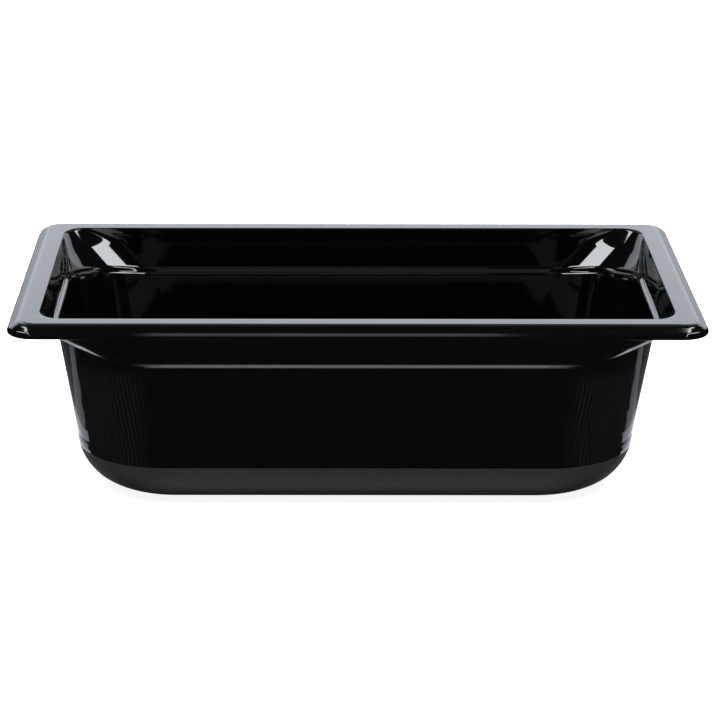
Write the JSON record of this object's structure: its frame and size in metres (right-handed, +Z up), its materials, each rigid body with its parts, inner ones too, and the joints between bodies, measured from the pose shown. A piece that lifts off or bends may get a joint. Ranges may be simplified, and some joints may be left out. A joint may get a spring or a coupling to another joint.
{
  "type": "deli food pan",
  "caption": "Deep rectangular food pan with a flat flanged rim, rounded corners, an inner stacking shoulder and a rounded flat-bottomed body, moulded in black plastic.",
  "frame": {"origin": "middle of the flat underside, on the surface that the pan stands on", "axes": "+X along the pan's length, +Y across its width, +Z up through the open mouth"},
  "size_m": [0.325, 0.176, 0.1],
  "materials": {
    "black_polycarbonate": "high gloss moulded black, with a matte turn at the foot and underside"
  },
  "bodies": {
    "root": {"pan": "black_polycarbonate"}
  },
  "joints": []
}
